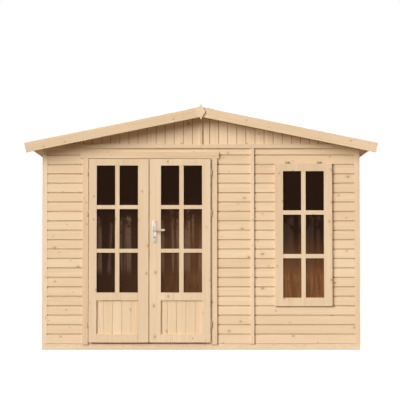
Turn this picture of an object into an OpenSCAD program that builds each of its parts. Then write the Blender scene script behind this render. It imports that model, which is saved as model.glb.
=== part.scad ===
// Timber garden shed with a gable roof, a glazed double door and one tall window.
// Millimetres, +Z up, front towards -Y, origin on the ground at the middle of the shed.

/* [Building] */
// Width of the walls over the corner boards
shed_w = 2900; // [2600:10:3500]
// Depth of the walls over the corner boards
shed_d = 2204; // [1800:4:2700]
// Height of the top of the front and back wall panels
wall_top = 1838; // [1820:1:2000]
// Thickness of the trims and battens
trim_t = 16; // [12:1:20]
// Width of a corner board on each of its two walls
corner_w = 46; // [36:1:60]
// Distance that a corner board stands proud of the cladding
corner_proud = 2; // [1:0.5:4]

/* [Floor] */
// Height of the floor bearers
bearer_h = 36; // [30:1:60]
// Width of a floor bearer
bearer_w = 72; // [45:1:100]
// Number of floor bearers, odd so that one lies in the middle
bearer_n = 5; // [3:2:9]
// Thickness of the floor boards
floor_t = 18; // [14:1:22]
// Number of floor boards
floor_n = 35; // [30:1:40]

/* [Walls] */
// Thickness of the cladding
clad_t = 14; // [12:1:20]
// Height that one cladding board covers
clad_pitch = 86; // [80:1:96]
// Height of the lowest joint over the foot of a wall
clad_first = 93; // [60:1:140]
// Depth of the joint between two cladding boards
clad_groove = 9; // [5:0.5:10]
// Height of the open part of that joint
clad_open = 9; // [4:1:12]
// Height of the cove along the top edge of a cladding board
clad_cove = 14; // [13:1:24]
// Depth of a stud, measured into the room
stud_d = 40; // [34:1:60]
// Width of a stud
stud_w = 40; // [34:1:50]
// Middle of the joint between the two front wall panels
panel_joint_x = 468; // [440:1:500]
// Width of the batten over that joint
panel_batten_w = 35; // [30:1:60]
// Width of the batten up the middle of a gable
gable_batten_w = 25; // [20:1:40]
// Width that one vertical gable board covers
gable_pitch = 83; // [70:1:95]
// Distance from the middle of a gable to its first open joint
gable_first = 79; // [40:1:90]
// Depth of the joint between two gable boards
gable_joint = 7; // [3:0.5:9]
// Height of the rail along the foot of a gable
gable_rail_h = 38; // [30:1:50]
// Thickness of that rail
gable_rail_t = 20; // [17:1:30]

/* [Roof] */
// Distance that the covering runs out past the corner boards at an eave
eave_out = 150; // [100:1:260]
// Distance that the bargeboards stand out from the corner boards
gable_out = 168; // [100:1:260]
// Slope of the roof
roof_pitch = 11.5; // [9:0.5:14]
// Height of the underside of the roof boards over the front wall's top, at the outside of the corner boards
heel_h = 45; // [42:1:80]
// Thickness of the roof boards
deck_t = 16; // [14:1:20]
// Width that one roof board covers
deck_pitch = 92; // [80:1:110]
// Thickness of the shingle covering
shingle_t = 6; // [4:1:10]
// Width of a bargeboard
barge_w = 87; // [70:1:110]
// Thickness of a bargeboard
barge_t = 20; // [16:1:24]
// Distance that the covering runs out past the boards along the eaves
drip = 9; // [5:1:30]
// Height of the boards along the eaves
fascia_h = 22; // [18:1:40]
// Thickness of the boards along the eaves
fascia_t = 16; // [12:1:20]
// Depth of a rafter, square to the slope
rafter_h = 60; // [45:1:90]
// Thickness of a rafter
rafter_t = 40; // [30:1:50]
// Height of the diamond on the ridge
finial_h = 142; // [100:1:180]
// Width of that diamond
finial_w = 78; // [60:1:130]
// Height of the diamond's tip over the bargeboards
finial_up = 27; // [10:1:40]
// Girth of one side of the ridge cap down the slope
cap_w = 120; // [80:1:160]
// Thickness of the ridge cap over the covering
cap_t = 4; // [3:0.5:8]

/* [Door] */
// Distance from the left corner of the shed to the pair of leaves
door_left = 427; // [380:1:480]
// Width of the left leaf, which is closed first
left_leaf_w = 546.5; // [500:0.5:570]
// Width of the right leaf, which carries the handle
right_leaf_w = 557.5; // [500:0.5:570]
// Gap between the two leaves, and between a leaf and its trims
leaf_gap = 6; // [6:0.5:9]
// Thickness of a leaf
leaf_t = 28; // [24:1:34]
// Gap between the back of a leaf and the wall
leaf_back = 6; // [6:0.5:8]
// Height of the foot of a leaf
leaf_z0 = 68; // [62:1:80]
// Height of the top of a leaf
leaf_z1 = 1739; // [1700:1:1745]
// Width of the left leaf's stile that carries the hinges
left_hinge_stile = 71.5; // [60:0.5:90]
// Width of the left leaf's stile where the leaves meet
left_meet_stile = 98; // [85:0.5:120]
// Width of the right leaf's stile that carries the hinges
right_hinge_stile = 77.5; // [60:0.5:90]
// Width of the right leaf's stile where the leaves meet
right_meet_stile = 104.5; // [90:0.5:120]
// Height of the top rail
top_rail = 60; // [50:1:90]
// Height of the middle rail
mid_rail = 72; // [60:1:90]
// Height of the foot rail
foot_rail = 75; // [60:1:110]
// Height of the boarded opening below the middle rail
panel_h = 306; // [250:1:360]
// Width of the upright glazing bar
bar_v = 40; // [30:1:55]
// Height of a level glazing bar of the door
bar_h = 36; // [25:1:50]
// Thickness of the glazing bars
bar_t = 12; // [8:1:14]
// Thickness of the glass
glass_t = 4; // [3:0.5:6]
// Width of the rebate that the glass sits in
rebate = 8; // [6:0.5:12]
// Clearance around the edge of the glass
glass_gap = 1.5; // [0.5:0.5:3]
// Width of the beads behind the glass
bead_w = 12; // [8:0.5:14]
// Thickness of the boards in the lower panel
panel_t = 12; // [8:1:12]
// Depth of the lower panel's face behind the face of the leaf
panel_in = 16; // [8:1:16]
// Width that one board of the lower panel covers
panel_pitch = 84; // [60:1:110]
// Width of the trims beside the door
door_trim_w = 55; // [45:1:75]
// Height of the board over the door
head_h = 57; // [45:1:60]
// Distance that the board over the door runs past the trims
head_over = 19; // [0:1:30]
// Distance that the trims run down over the edge of the floor
trim_drop = 6; // [0:1:15]
// Width of the strip that a leaf laps over the wall beside the doorway
leaf_lap = 30; // [20:1:40]

/* [Hinges and handle] */
// Diameter of a hinge knuckle
knuckle_d = 12; // [10:0.5:14]
// Height of a whole hinge
knuckle_h = 60; // [40:1:80]
// Diameter of the hinge pin
pin_d = 6; // [5:0.5:8]
// Clearance around the pin and between the halves of a knuckle
pin_gap = 0.5; // [0.3:0.1:0.8]
// Thickness of the hinge flaps
flap_t = 2; // [1.5:0.5:2.5]
// Height of the middle of the lowest hinge
hinge_low = 230; // [180:1:300]
// Height of the middle of the second hinge
hinge_mid = 1240; // [1000:1:1300]
// Height of the middle of the top hinge
hinge_top = 1613; // [1500:1:1640]
// Height of the handle spindle
lever_z = 1088; // [1000:1:1150]
// Distance from the meeting edge of the leaf to the spindle
lever_in = 47.5; // [35:0.5:60]
// Length of the lever from the spindle to its end
lever_l = 98; // [80:1:130]
// Diameter of the lever bar beside its neck
lever_d = 17; // [14:1:20]
// Diameter of the lever bar at its swelled end
lever_end_d = 25; // [20:1:30]
// Distance from the leaf to the middle of the lever bar
lever_out = 42; // [36:1:55]
// Diameter of the neck of the lever
neck_d = 16; // [12:1:20]
// Width of the handle plate
plate_w = 43; // [38:1:50]
// Height of the handle plate
plate_h = 205; // [160:1:240]
// Height of the plate's top over the spindle
plate_up = 88; // [60:1:100]
// Thickness of the handle plate
plate_t = 4; // [3:0.5:6]
// Diameter of the spindle through the leaf
spindle_d = 9; // [8:0.5:12]

/* [Window] */
// Distance from the right corner of the shed to the sash
win_right = 253; // [200:1:290]
// Width of the sash
win_w = 525; // [450:1:560]
// Height of the foot of the sash
win_z0 = 397; // [360:1:480]
// Height of the whole sash
win_h = 1302; // [1100:1:1330]
// Thickness of the sash
sash_t = 26; // [20:1:32]
// Width of a sash stile
win_stile = 76; // [55:1:90]
// Height of the top rail of the sash
win_top_rail = 71; // [55:1:90]
// Height of the foot rail of the sash
win_foot_rail = 77; // [60:1:100]
// Height of a level glazing bar of the window
win_bar_h = 39; // [25:1:50]
// Distance that the sash laps over the wall around the hole
win_lap = 40; // [25:1:50]
// Distance from the middle of the window to a hinge
win_hinge_x = 145; // [100:1:180]

/* [Hidden] */
$fn = 48;
slope = tan(roof_pitch);
base_h = bearer_h + floor_t;
out_x = shed_w / 2;
out_y = shed_d / 2;
ridge_under = round(wall_top + heel_h + slope * out_x);
clad_x = out_x - corner_proud;
clad_y = out_y - corner_proud;
in_x = clad_x - clad_t;
in_y = clad_y - clad_t;
room_x = in_x - stud_d;
room_y = in_y - stud_d;
end_x = out_x - corner_w;
end_y = out_y - corner_w;
trim_y = clad_y + trim_t;
wall_h = wall_top - base_h;
// door
// a leaf's width, and those of its hinge stile and meeting stile
left_size = [left_leaf_w, left_hinge_stile, left_meet_stile];
right_size = [right_leaf_w, right_hinge_stile, right_meet_stile];
pair_w = left_leaf_w + leaf_gap + right_leaf_w;
door_x0 = door_left - out_x;
door_x1 = door_x0 + pair_w;
leaf_y1 = -clad_y - leaf_back;
leaf_y0 = leaf_y1 - leaf_t;
leaf_h = leaf_z1 - leaf_z0;
doorway_x0 = door_x0 + leaf_lap;
doorway_x1 = door_x1 - leaf_lap;
doorway_z1 = leaf_z1 - leaf_lap;
trim_x0 = door_x0 - leaf_gap - door_trim_w;
trim_x1 = door_x1 + leaf_gap + door_trim_w;
head_z0 = leaf_z1 + leaf_gap;
mid_z0 = leaf_z0 + foot_rail + panel_h;
glaze_z0 = mid_z0 + mid_rail;
glaze_z1 = leaf_z1 - top_rail;
// hinges stand just proud of the trims
hinge_out = leaf_gap + 3;
hinge_y = -trim_y - knuckle_d / 2 - pin_gap;
hinges_z = [hinge_low, hinge_mid, hinge_top];
half_h = (knuckle_h - pin_gap) / 2;
// handle, on the right leaf
lever_x = door_x1 - right_leaf_w + lever_in;
// window
win_x1 = out_x - win_right;
win_x0 = win_x1 - win_w;
win_z1 = win_z0 + win_h;
sash_y = -clad_y - sash_t;
sight_x0 = win_x0 + win_stile;
sight_x1 = win_x1 - win_stile;
sight_z0 = win_z0 + win_foot_rail;
sight_z1 = win_z1 - win_top_rail;
hole_x0 = win_x0 + win_lap;
hole_x1 = win_x1 - win_lap;
hole_z0 = win_z0 + win_lap;
hole_z1 = win_z1 - win_lap;
// glazing, from the face of a sash or leaf
lip_t = bar_t + 3;
// roof
roof_w = shed_w + 2 * eave_out;
barge_y = out_y + gable_out;
deck_y = barge_y - barge_t;
deck_x = roof_w / 2 - fascia_t - drip;
deck_v = deck_t / cos(roof_pitch);
cover_v = shingle_t / cos(roof_pitch);
cap_v = cap_t / cos(roof_pitch);
cap_x = cap_w * cos(roof_pitch);
rafter_v = rafter_h / cos(roof_pitch);
barge_v = barge_w / cos(roof_pitch);

wood = [0.86, 0.72, 0.52];
wood_dark = [0.78, 0.63, 0.43];
steel = [0.72, 0.72, 0.70];
slate = [0.36, 0.33, 0.33];
pane = [0.16, 0.12, 0.09, 0.8];

function under(x) = ridge_under - slope * abs(x);

// Front view of all that lies under the two slopes of the roof boards' underside, raised by lift
module below_roof(lift) translate([0, lift]) polygon([[-roof_w, under(roof_w)], [0, ridge_under],
    [roof_w, under(roof_w)], [roof_w, -ridge_under], [-roof_w, -ridge_under]]);

// Front view of a layer from x0 to x1 between two heights over that underside
module roof_layer(x0, x1, from, to) difference() {
    intersection() {
        translate([x0, 0]) square([x1 - x0, 2 * ridge_under]);
        below_roof(to);
    }
    below_roof(from);
}

// A block between two corners
module block(a, b) translate(a) cube(b - a);

module mirrored_x() { children(); mirror([1, 0, 0]) children(); }
module mirrored_y() { children(); mirror([0, 1, 0]) children(); }

// A shape drawn in X and Z, laid from y0 to y1
module along_y(y0, y1) translate([0, y1, 0]) rotate([90, 0, 0]) linear_extrude(y1 - y0) children();

// A shape drawn in Y and Z, laid from x0 to x1
module along_x(x0, x1) translate([x0, 0, 0]) rotate([90, 0, 90]) linear_extrude(x1 - x0) children();

// ---- Floor ----

module floor_bearers() color(wood_dark)
    for (i = [0 : bearer_n - 1]) {
        y = -clad_y + i * (2 * clad_y - bearer_w) / (bearer_n - 1);
        block([-clad_x, y, 0], [clad_x, y + bearer_w, bearer_h]);
    }

module floor_deck() color(wood) along_y(-clad_y, clad_y) difference() {
    translate([-clad_x, bearer_h]) square([2 * clad_x, floor_t]);
    for (i = [1 : floor_n - 1])
        translate([-clad_x + i * 2 * clad_x / floor_n, 0]) polygon([[-1, base_h - 7], [1, base_h - 7],
            [1, base_h - 2], [3, base_h + 1], [-3, base_h + 1], [-1, base_h - 2]]);
}

// ---- Wall frame ----

module front_back_plates() color(wood_dark) {
    for (z = [base_h, wall_top - stud_w]) block([-in_x, room_y, z], [in_x, in_y, z + stud_w]);
    block([-in_x, -in_y, base_h], [doorway_x0 - stud_w, -room_y, base_h + stud_w]);
    block([doorway_x1 + stud_w, -in_y, base_h], [in_x, -room_y, base_h + stud_w]);
    block([-in_x, -in_y, wall_top - stud_w], [in_x, -room_y, wall_top]);
    block([doorway_x0, -in_y, doorway_z1], [doorway_x1, -room_y, doorway_z1 + stud_w]);
    for (z = [hole_z0 - stud_w, hole_z1]) block([hole_x0, -in_y, z], [hole_x1, -room_y, z + stud_w]);
}

module side_plates() color(wood_dark) mirrored_x() {
    block([room_x, -room_y, base_h], [in_x, room_y, base_h + stud_w]);
    along_y(-room_y, room_y) intersection() {
        translate([room_x, wall_top - stud_w]) square([stud_d, ridge_under]);
        below_roof(0);
    }
}

// An upright between the foot plate and the top plate
module stud(x, y) block([x, y, base_h + stud_w], [x + stud_w, y + stud_d, wall_top - stud_w]);

module wall_studs() color(wood_dark) {
    for (x = [-in_x, in_x - stud_w, panel_joint_x - stud_w - 2, panel_joint_x + 2,
        hole_x0 - stud_w, hole_x1]) stud(x, -in_y);
    for (x = [doorway_x0 - stud_w, doorway_x1])
        block([x, -in_y, base_h], [x + stud_w, -room_y, wall_top - stud_w]);
    for (i = [0 : 4]) stud(-in_x + i * (2 * in_x - stud_w) / 4, room_y);
    mirrored_x() for (i = [1 : 3])
        translate([room_x, -room_y + i * 2 * room_y / 4 - stud_w / 2, base_h + stud_w])
        cube([stud_d, stud_w, wall_h - 2 * stud_w]);
}

// ---- Cladding ----

// Side view of level boards from z0 to z1, with their faces on y = 0. The foot of each board laps over the
// coved top edge of the one below, which leaves a shadow line
module clad_profile(z0, z1) difference() {
    translate([0, z0]) square([clad_t, z1 - z0]);
    for (z = [base_h + clad_first : clad_pitch : wall_top + 3 * clad_pitch])
        if (z > z0 + clad_cove && z < z1 - 2)
        polygon([[-1, z + 1], [0, z + 1], [2, z], [clad_groove, z], [clad_groove, z - clad_open],
            [clad_groove * 0.45, z - (clad_open + clad_cove) / 2], [0, z - clad_cove], [-1, z - clad_cove]]);
}

module front_clad(x0, x1, z0, z1) translate([0, -clad_y, 0]) along_x(x0, x1) clad_profile(z0, z1);

module front_wall_left() color(wood) front_clad(-end_x, doorway_x0, base_h, wall_top);

module front_wall_over_door() color(wood) front_clad(doorway_x0, doorway_x1, doorway_z1, wall_top);

module front_wall_middle() color(wood) front_clad(doorway_x1, panel_joint_x, base_h, wall_top);

module front_wall_right() color(wood) difference() {
    front_clad(panel_joint_x, end_x, base_h, wall_top);
    block([hole_x0, -clad_y - 5, hole_z0], [hole_x1, -in_y + 5, hole_z1]);
}

module back_wall() color(wood) mirror([0, 1, 0]) front_clad(-end_x, end_x, base_h, wall_top);

module side_clad() intersection() {
    translate([-clad_x, 0, 0]) rotate([0, 0, -90]) along_x(-end_y, end_y) clad_profile(base_h, under(in_x) + 5);
    along_y(-end_y, end_y) below_roof(0);
}

module left_wall() color(wood) side_clad();

module right_wall() color(wood) mirror([1, 0, 0]) side_clad();

// A board on the front wall up to the gable, and one on the side wall up to the roof
module corner_boards() color(wood) mirrored_x() mirrored_y() {
    block([end_x, -out_y, base_h], [out_x, -in_y, wall_top]);
    along_y(-in_y, -end_y) intersection() {
        translate([in_x, base_h]) square([out_x - in_x, ridge_under]);
        below_roof(0);
    }
}

module cover_battens() color(wood) {
    block([panel_joint_x - panel_batten_w / 2, -trim_y, base_h],
        [panel_joint_x + panel_batten_w / 2, -clad_y, wall_top]);
    mirrored_y() along_y(-trim_y, -clad_y) intersection() {
        translate([-gable_batten_w / 2, wall_top + gable_rail_h]) square([gable_batten_w, ridge_under]);
        below_roof(0);
    }
}

// ---- Gables ----

module gable_boards() difference() {
    along_y(-clad_y, -in_y) intersection() {
        translate([-clad_x, wall_top]) square([2 * clad_x, ridge_under]);
        below_roof(0);
    }
    mirrored_x() for (x = [gable_first : gable_pitch : clad_x - 10])
        translate([x, -clad_y, wall_top - 1]) linear_extrude(ridge_under - wall_top)
            polygon([[-3.5, -1], [3.5, -1], [1.5, 2], [1.5, gable_joint], [-1.5, gable_joint], [-1.5, 2]]);
}

module front_gable() color(wood) gable_boards();

module back_gable() color(wood) mirror([0, 1, 0]) gable_boards();

module gable_rails() color(wood) mirrored_y()
    block([-out_x, -clad_y - gable_rail_t, wall_top], [out_x, -clad_y, wall_top + gable_rail_h]);

// ---- Roof ----

// A pair of rafters, cut level where their feet rest on the plates
module rafter_pair(x) intersection() {
    roof_layer(-x, x, -rafter_v, 0);
    translate([-x, wall_top]) square([2 * x, ridge_under]);
}

module roof_rafters() color(wood_dark) {
    for (i = [-1, 1]) along_y(i * room_y / 3 - rafter_t / 2, i * room_y / 3 + rafter_t / 2)
        rafter_pair(room_x);
    mirrored_y() along_y(-in_y, -room_y) rafter_pair(in_x);
}

// Half of the roof boarding, with the joints between the boards on its underside
module deck_half() along_y(-deck_y, deck_y) difference() {
    roof_layer(0, deck_x, 0, deck_v);
    for (x = [deck_x - deck_pitch : -deck_pitch : 30]) translate([x, under(x)]) rotate(-roof_pitch)
        polygon([[-4, -1], [4, -1], [1, 3], [-1, 3]]);
}

module roof_deck_right() color(wood) deck_half();

module roof_deck_left() color(wood) mirror([1, 0, 0]) deck_half();

module cover_half() along_y(-deck_y, deck_y) roof_layer(0, roof_w / 2, deck_v, deck_v + cover_v);

module shingles_right() color(slate) cover_half();

module shingles_left() color(slate) mirror([1, 0, 0]) cover_half();

module ridge_cap() color(slate) along_y(-deck_y, deck_y)
    roof_layer(-cap_x, cap_x, deck_v + cover_v, deck_v + cover_v + cap_v);

// A pair of boards up one slope, front and back, with their lower ends cut square
module barge_half() mirrored_y() along_y(-barge_y, -deck_y) difference() {
    roof_layer(0, roof_w / 2, deck_v + cover_v - barge_v, deck_v + cover_v);
    translate([roof_w / 2, under(roof_w / 2) + deck_v + cover_v]) rotate(-roof_pitch)
        translate([0, -2 * barge_w]) square([2 * barge_w, 3 * barge_w]);
}

module bargeboards_right() color(wood) barge_half();

module bargeboards_left() color(wood) mirror([1, 0, 0]) barge_half();

// A board along each eave, over the ends of the roof boards
module fascia_boards() color(wood) mirrored_x() along_y(-deck_y, deck_y) intersection() {
    translate([deck_x, under(deck_x) + deck_v - fascia_h]) square([fascia_t, fascia_h + deck_v]);
    below_roof(deck_v);
}

module finials() color(wood) mirrored_y() {
    top = under(0) + deck_v + cover_v + finial_up;
    along_y(-barge_y - trim_t, -barge_y) polygon([[0, top], [finial_w / 2, top - finial_h / 2],
        [0, top - finial_h], [-finial_w / 2, top - finial_h / 2]]);
}

// ---- Door surround ----

module door_side_trims() color(wood) for (x = [trim_x0, trim_x1 - door_trim_w])
    block([x, -trim_y, base_h - trim_drop], [x + door_trim_w, -clad_y, head_z0]);

module door_head_trim() color(wood)
    block([trim_x0 - head_over, -trim_y, head_z0], [trim_x1 + head_over, -clad_y, head_z0 + head_h]);

// The fixed half of each hinge, with the leaf to its right: a flap on the trim, half a knuckle and the pin
module hinge_post() for (z = hinges_z) translate([-hinge_out, hinge_y, z - knuckle_h / 2]) {
    cylinder(d = knuckle_d, h = half_h);
    cylinder(d = pin_d, h = knuckle_h);
    block([hinge_out - leaf_gap, 0, 0], [hinge_out - leaf_gap + flap_t, -hinge_y - clad_y - 2, half_h]);
}

module door_hinge_posts() color(steel) {
    translate([door_x0, 0, 0]) hinge_post();
    translate([door_x1, 0, 0]) mirror([1, 0, 0]) hinge_post();
}

// ---- One leaf of size [width, hinge stile, meeting stile], drawn with its hinge edge at x = 0 ----

module leaf_stiles(size) difference() {
    for (x = [[0, size[1]], [size[0] - size[2], size[0]]])
        block([x[0], leaf_y0, leaf_z0], [x[1], leaf_y1, leaf_z1]);
    leaf_rebate(size);
}

module leaf_rails(size) difference() {
    for (z = [[leaf_z0, leaf_z0 + foot_rail], [mid_z0, glaze_z0], [glaze_z1, leaf_z1]])
        block([size[1], leaf_y0, z[0]], [size[0] - size[2], leaf_y1, z[1]]);
    leaf_rebate(size);
}

module leaf_rebate(size) glass_rebate(size[1], size[0] - size[2], glaze_z0, glaze_z1, leaf_y0, leaf_t);

// ---- Glazing of a leaf or sash whose face is at y and whose sight opening is x0 to x1 and z0 to z1 ----

// The rebate behind the lip that the glass and its beads sit in
module glass_rebate(x0, x1, z0, z1, y, t)
    block([x0 - rebate, y + lip_t, z0 - rebate], [x1 + rebate, y + t + 1, z1 + rebate]);

module glass_sheet(x0, x1, z0, z1, y) {
    e = rebate - glass_gap;
    block([x0 - e, y + lip_t, z0 - e], [x1 + e, y + lip_t + glass_t, z1 + e]);
}

// Section of a bead that stands on the glass, with its splayed face towards the opening
module bead_section(t) polygon([[0, 0], [bead_w, 0], [bead_w, t * 0.45], [bead_w - t * 0.55, t], [0, t]]);

// Bars that part two panes across and three up, level ones bar high, and four beads behind the glass
module glazing_bars(x0, x1, z0, z1, y, t, bar) {
    block([(x0 + x1 - bar_v) / 2, y + 3, z0], [(x0 + x1 + bar_v) / 2, y + lip_t, z1]);
    for (i = [1, 2]) {
        z = z0 + i * (z1 - z0 + bar) / 3;
        block([x0, y + 3, z - bar], [x1, y + lip_t, z]);
    }
    b = y + lip_t + glass_t;
    bt = t - lip_t - glass_t;
    w = x1 - x0 + 2 * rebate;
    h = z1 - z0 + 2 * rebate - 2 * bead_w - 0.6;
    translate([x0 - rebate, b, z0 - rebate]) rotate([90, 0, 90]) linear_extrude(w)
        mirror([1, -1]) bead_section(bt);
    translate([x0 - rebate, b, z1 + rebate]) mirror([0, 0, 1]) rotate([90, 0, 90]) linear_extrude(w)
        mirror([1, -1]) bead_section(bt);
    translate([x0 - rebate, b, z0 - rebate + bead_w + 0.3]) linear_extrude(h) bead_section(bt);
    translate([x1 + rebate, b, z0 - rebate + bead_w + 0.3])
        mirror([1, 0, 0]) linear_extrude(h) bead_section(bt);
}

module leaf_bars(size) glazing_bars(size[1], size[0] - size[2], glaze_z0, glaze_z1, leaf_y0, leaf_t, bar_h);

module leaf_glass(size) glass_sheet(size[1], size[0] - size[2], glaze_z0, glaze_z1, leaf_y0);

// Upright boards behind the leaf's face with their joints cut in, the middle board centred
module leaf_panel(size) difference() {
    y = leaf_y0 + panel_in;
    x1 = size[0] - size[2];
    block([size[1], y, leaf_z0 + foot_rail], [x1, y + panel_t, mid_z0]);
    for (x = [(size[1] + x1) / 2 - 1.5 * panel_pitch : panel_pitch : x1 - 10])
        translate([x, y, leaf_z0]) linear_extrude(panel_h + 2 * foot_rail)
            polygon([[-3, -1], [3, -1], [1, 3], [-1, 3]]);
}

// The moving half of each hinge: half a knuckle around the pin and a flap on the edge of the leaf
module leaf_hinges() for (z = hinges_z) translate([0, hinge_y, z + pin_gap / 2]) difference() {
    union() {
        translate([-hinge_out, 0, 0]) cylinder(d = knuckle_d, h = half_h);
        block([-hinge_out, -knuckle_d / 2, 0], [0, -knuckle_d / 2 + flap_t, half_h]);
        block([-flap_t, -knuckle_d / 2, 0], [0, leaf_t / 2 - 2, half_h]);
    }
    translate([-hinge_out, 0, -1]) cylinder(d = pin_d + 2 * pin_gap, h = knuckle_h);
}

module left_leaf() translate([door_x0, 0, 0]) children();

module right_leaf() translate([door_x1, 0, 0]) mirror([1, 0, 0]) children();

module left_door_stiles() color(wood) left_leaf() leaf_stiles(left_size);

module left_door_rails() color(wood) left_leaf() leaf_rails(left_size);

module left_door_bars() color(wood) left_leaf() leaf_bars(left_size);

module left_door_glass() color(pane) left_leaf() leaf_glass(left_size);

module left_door_panel() color(wood) left_leaf() leaf_panel(left_size);

module left_door_hinges() color(steel) left_leaf() leaf_hinges();

module right_door_stiles() color(wood) difference() {
    right_leaf() leaf_stiles(right_size);
    translate([lever_x, leaf_y1 + 5, lever_z]) rotate([90, 0, 0]) cylinder(d = spindle_d + 2, h = leaf_t + 10);
}

module right_door_rails() color(wood) right_leaf() leaf_rails(right_size);

module right_door_bars() color(wood) right_leaf() leaf_bars(right_size);

module right_door_glass() color(pane) right_leaf() leaf_glass(right_size);

module right_door_panel() color(wood) right_leaf() leaf_panel(right_size);

module right_door_hinges() color(steel) right_leaf() leaf_hinges();

// ---- Handle ----

// A plate on each face of the leaf, rounded at its corners
module handle_plates() color(steel) for (y = [leaf_y0 - plate_t, leaf_y1])
    translate([lever_x, y + plate_t, lever_z]) rotate([90, 0, 0]) linear_extrude(plate_t) difference() {
        translate([-plate_w / 2, plate_up - plate_h]) {
            r = plate_w / 6;
            for (c = [[r, r], [plate_w - r, r], [r, plate_h - r], [plate_w - r, plate_h - r]])
                translate(c) circle(r = r);
            translate([r, 0]) square([plate_w - 2 * r, plate_h]);
            translate([0, r]) square([plate_w, plate_h - 2 * r]);
        }
        circle(d = neck_d + 1);
    }

// A lever bar that swells towards its rounded end, turned about its own length
module lever_bar() rotate([0, 90, 0]) rotate_extrude() {
    r = lever_end_d / 2;
    difference() {
        union() {
            polygon([[0, -lever_d / 2], [lever_d / 2 - 2, -lever_d / 2], [lever_d / 2, 2 - lever_d / 2],
                [lever_d / 2, lever_l * 0.3], [lever_d / 2 + 1, lever_l * 0.55],
                [r, lever_l - r], [0, lever_l - r]]);
            translate([0, lever_l - r]) circle(r = r);
        }
        translate([-2 * r, -lever_l]) square([2 * r, 3 * lever_l]);
    }
}

// A lever on each side of the leaf, joined by the spindle
module door_lever() color(steel) {
    translate([lever_x, leaf_y1 + 5, lever_z]) rotate([90, 0, 0]) cylinder(d = spindle_d, h = leaf_t + 10);
    translate([lever_x, leaf_y0 - 0.5, lever_z]) rotate([90, 0, 0]) cylinder(d = neck_d, h = lever_out);
    translate([lever_x, leaf_y1 + 0.5 + lever_out, lever_z])
        rotate([90, 0, 0]) cylinder(d = neck_d, h = lever_out);
    for (y = [leaf_y0 - lever_out, leaf_y1 + lever_out]) translate([lever_x, y, lever_z]) lever_bar();
}

// ---- Window ----

module window_stiles() color(wood) difference() {
    for (x = [win_x0, win_x1 - win_stile]) block([x, sash_y, win_z0], [x + win_stile, -clad_y, win_z1]);
    glass_rebate(sight_x0, sight_x1, sight_z0, sight_z1, sash_y, sash_t);
}

module window_rails() color(wood) difference() {
    for (z = [[win_z0, sight_z0], [sight_z1, win_z1]])
        block([sight_x0, sash_y, z[0]], [sight_x1, -clad_y, z[1]]);
    glass_rebate(sight_x0, sight_x1, sight_z0, sight_z1, sash_y, sash_t);
}

module window_bars() color(wood)
    glazing_bars(sight_x0, sight_x1, sight_z0, sight_z1, sash_y, sash_t, win_bar_h);

module window_glass() color(pane) glass_sheet(sight_x0, sight_x1, sight_z0, sight_z1, sash_y);

module window_hinges() color(steel) for (s = [-1, 1])
    translate([(win_x0 + win_x1) / 2 + s * win_hinge_x, 0, 0]) {
    translate([-23, sash_y - 4, win_z1 + 5]) rotate([0, 90, 0]) cylinder(d = 10, h = 46);
    block([-23, sash_y - 4, win_z1], [23, -clad_y, win_z1 + flap_t]);
    block([-23, -clad_y - flap_t, win_z1], [23, -clad_y, win_z1 + 18]);
}

floor_bearers();
floor_deck();
front_back_plates();
side_plates();
wall_studs();
front_wall_left();
front_wall_over_door();
front_wall_middle();
front_wall_right();
left_wall();
right_wall();
back_wall();
corner_boards();
cover_battens();
front_gable();
back_gable();
gable_rails();
roof_rafters();
roof_deck_left();
roof_deck_right();
shingles_left();
shingles_right();
ridge_cap();
bargeboards_left();
bargeboards_right();
fascia_boards();
finials();
door_side_trims();
door_head_trim();
door_hinge_posts();
window_stiles();
window_rails();
window_bars();
window_glass();
window_hinges();
left_door_stiles();
left_door_rails();
left_door_bars();
left_door_glass();
left_door_panel();
left_door_hinges();
right_door_stiles();
right_door_rails();
right_door_bars();
right_door_glass();
right_door_panel();
right_door_hinges();
handle_plates();
door_lever();
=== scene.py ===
"""Looks of the timber garden shed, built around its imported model. Metres, +Z up, front towards -Y."""

import math
import random

import bmesh
import bpy
from mathutils import Matrix, Vector


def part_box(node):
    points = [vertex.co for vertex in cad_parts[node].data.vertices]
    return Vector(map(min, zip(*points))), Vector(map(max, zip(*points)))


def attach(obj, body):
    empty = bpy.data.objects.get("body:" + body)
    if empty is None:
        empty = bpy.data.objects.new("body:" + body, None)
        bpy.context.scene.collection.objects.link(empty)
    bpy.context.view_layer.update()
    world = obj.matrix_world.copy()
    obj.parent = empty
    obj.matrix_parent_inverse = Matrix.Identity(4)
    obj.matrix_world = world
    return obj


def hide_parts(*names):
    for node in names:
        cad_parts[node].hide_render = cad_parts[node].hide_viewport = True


MM = 0.001

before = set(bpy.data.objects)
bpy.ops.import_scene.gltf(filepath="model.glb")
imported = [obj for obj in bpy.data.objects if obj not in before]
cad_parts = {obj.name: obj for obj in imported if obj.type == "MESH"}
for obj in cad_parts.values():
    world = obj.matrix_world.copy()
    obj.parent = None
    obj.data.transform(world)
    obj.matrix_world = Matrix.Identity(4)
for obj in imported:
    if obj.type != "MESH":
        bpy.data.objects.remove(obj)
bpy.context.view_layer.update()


# ---- Sizes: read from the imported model, or the same as in it ----

def low(name):
    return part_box(name)[0]


def high(name):
    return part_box(name)[1]


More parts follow.
